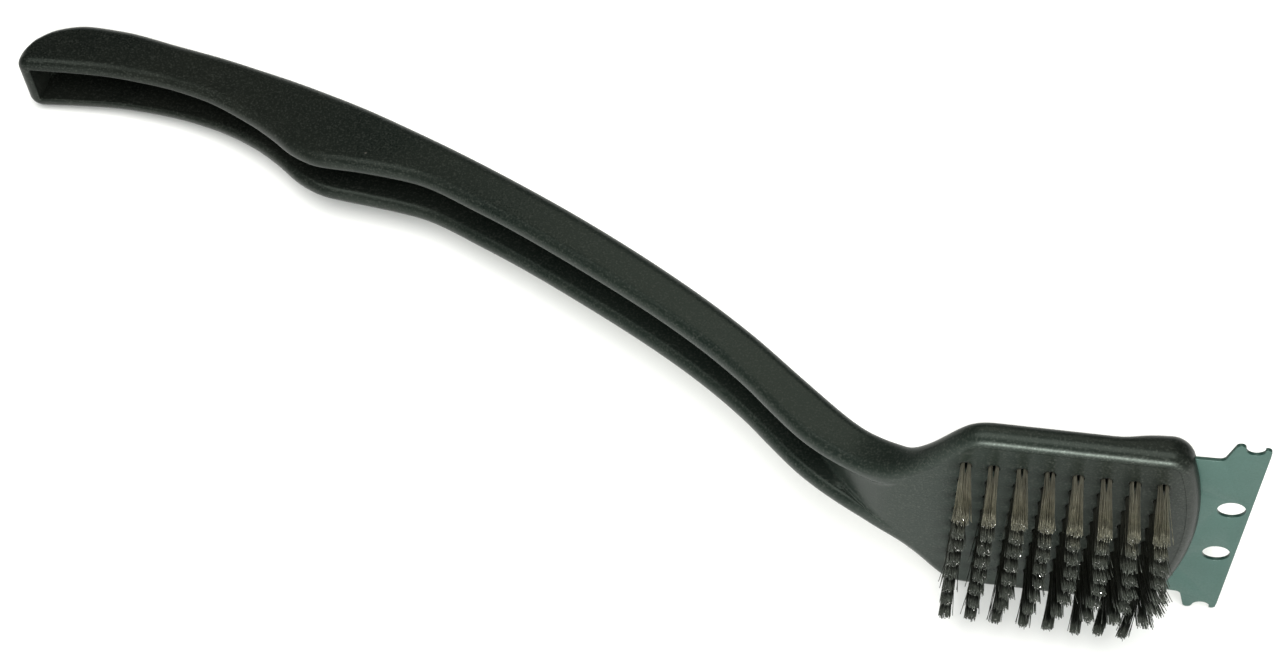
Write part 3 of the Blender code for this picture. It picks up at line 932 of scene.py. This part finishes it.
def tuft_mesh(row, column, name):
    """A tuft of wires, each folded under the anchor with one leg on either side of it."""
    draw = random.Random(100 * row + column)
    x, y = grid_places()[column - 1], grid_places()[row - 1]
    depth_share = (TUFTS_EACH_WAY - row) / (TUFTS_EACH_WAY - 1)
    column_share = (column - 1) / (TUFTS_EACH_WAY - 1)
    lean_x = LEAN_AT_FLOOR_SIDE * depth_share + SPLAY_BY_ROW[row - 1] * column_share**1.3
    if row == 1:
        lean_x = FIRST_ROW_LEANS[column - 1]
    lean = (lean_x + draw.gauss(0, LEAN_SCATTER[0]), draw.gauss(-0.1, LEAN_SCATTER[1]))
    tip_radius = TIP_RADII[column - 1] * TIP_SHARE_BY_ROW[row - 1] + draw.uniform(-0.1, 0.1)
    if 1 < row < TUFTS_EACH_WAY - 1:
        tip_radius *= 1 + EXTRA_SPREAD_AT_SCRAPER * column_share
    paths = []
    for _ in range(WIRES_EACH_TUFT):
        first, second = leg_start(draw), leg_start(draw)
        strays = [
            draw.choice(STRAY_SIZES) if draw.random() < STRAY_CHANCE else 0 for _ in range(2)
        ]
        up = leg_path(draw, (-first[0], first[1]), tip_radius, lean, strays[0])
        down = leg_path(draw, second, tip_radius, lean, strays[1])
        low = FOLD_BOTTOM + FOLD_RISE * min(first[0], second[0]) / HOLE_RADIUS
        middle = (first[1] + second[1]) / 2
        across, above = FOLD_SHOULDER
        fold = [
            (-across * first[0], first[1], low + above),
            (0, middle, low),
            (across * second[0], second[1], low + above),
        ]
        paths.append(up[::-1] + fold + down)
    points, walls, ends = tubes(paths, WIRE_RADIUS, WIRE_SIDES, 100 * row + column)
    points = to_world(np.array(points) + np.array([x, y, 0.0]))
    data = bpy.data.meshes.new(name)
    data.from_pydata(points.tolist(), [], walls + ends)
    kinds = np.zeros(len(walls) + len(ends), np.int32)
    kinds[len(walls):] = 1
    data.polygons.foreach_set("material_index", kinds)
    data.polygons.foreach_set("use_smooth", kinds == 0)
    data.update()
    return data


def make_tufts():
    looks = [wire_look(), cut_end_look()]
    for row in range(1, TUFTS_EACH_WAY + 1):
        for column in range(1, TUFTS_EACH_WAY + 1):
            name = f"tuft_row_{row}_column_{column}"
            data = tuft_mesh(row, column, name)
            add_piece(name, data, looks, "bristle_wire", tuft_node(row, column))


def make_anchors():
    """In each hole a short anchor whose ends bite into the hole's wall."""
    look = anchor_look()
    half = ANCHOR_THICKNESS / 2
    reach = HOLE_RADIUS + ANCHOR_BITE
    for column, x in enumerate(grid_places(), 1):
        mesh = bmesh.new()
        for y in grid_places():
            corners = []
            for cx, cz, start in (
                (half, ANCHOR_TOP, 0), (-half, ANCHOR_TOP, 90),
                (-half, ANCHOR_BOTTOM, 180), (half, ANCHOR_BOTTOM, 270),
            ):
                mx = cx - math.copysign(ANCHOR_ROUNDING, cx)
                mz = cz - ANCHOR_ROUNDING if cz == ANCHOR_TOP else cz + ANCHOR_ROUNDING
                corners += arc(mx, mz, ANCHOR_ROUNDING, start, start + 90, 22.5)
            near = [mesh.verts.new((x + px, y - reach, pz)) for px, pz in corners]
            far = [mesh.verts.new((x + px, y + reach, pz)) for px, pz in corners]
            mesh.faces.new(near)
            mesh.faces.new(far[::-1])
            for i in range(len(corners)):
                j = (i + 1) % len(corners)
                mesh.faces.new((near[j], near[i], far[i], far[j]))
        bmesh.ops.recalc_face_normals(mesh, faces=mesh.faces)
        name = f"anchors_column_{column}"
        data = mesh_in_world(mesh, name)
        data.shade_smooth()
        data.set_sharp_from_angle(angle=math.radians(ANCHOR_SHARP_ANGLE))
        add_piece(name, data, look, "anchor_wire", f"anchor_strip_column_{column}")


# ---------------------------------------------------------------- studio

def make_floor():
    mesh = bmesh.new()
    bmesh.ops.create_grid(mesh, x_segments=2, y_segments=2, size=FLOOR_SIZE)
    data = bpy.data.meshes.new("floor")
    mesh.to_mesh(data)
    mesh.free()
    data.materials.append(floor_look())
    floor = bpy.data.objects.new("floor", data)
    floor.location.z = cad_bounds[0].z - FLOOR_GAP
    bpy.context.scene.collection.objects.link(floor)


def area_light(name, place, target, size, energy, colour):
    data = bpy.data.lights.new(name, "AREA")
    data.shape = "RECTANGLE"
    data.size, data.size_y = size
    data.energy = energy
    data.color = colour
    light = bpy.data.objects.new(name, data)
    light.location = place
    light.rotation_mode = "QUATERNION"
    light.rotation_quaternion = (Vector(target) - Vector(place)).to_track_quat("-Z", "Y")
    light.visible_camera = False
    bpy.context.scene.collection.objects.link(light)


def make_lights():
    for light in LIGHTS:
        area_light(*light)
    world = bpy.data.worlds.new("studio")
    world.use_nodes = True
    backdrop = world.node_tree.nodes["Background"]
    backdrop.inputs["Color"].default_value = BACKDROP_COLOUR
    backdrop.inputs["Strength"].default_value = BACKDROP_STRENGTH
    bpy.context.scene.world = world


def make_camera():
    data = bpy.data.cameras.new("camera")
    data.lens = CAMERA_LENS
    data.sensor_width = SENSOR_WIDTH
    data.clip_start = 0.01
    camera = bpy.data.objects.new("camera", data)
    place, target = Vector(CAMERA_PLACE), Vector(CAMERA_TARGET)
    aim = (target - place).to_track_quat("-Z", "Y").to_matrix().to_4x4()
    roll = Matrix.Rotation(math.radians(CAMERA_ROLL), 4, "Z")
    camera.matrix_world = Matrix.Translation(place) @ aim @ roll
    bpy.context.scene.collection.objects.link(camera)
    bpy.context.scene.camera = camera
    bpy.context.scene.view_settings.view_transform = "Standard"


make_camera()
make_floor()
make_lights()
make_body()
make_plate()
make_tufts()
make_anchors()
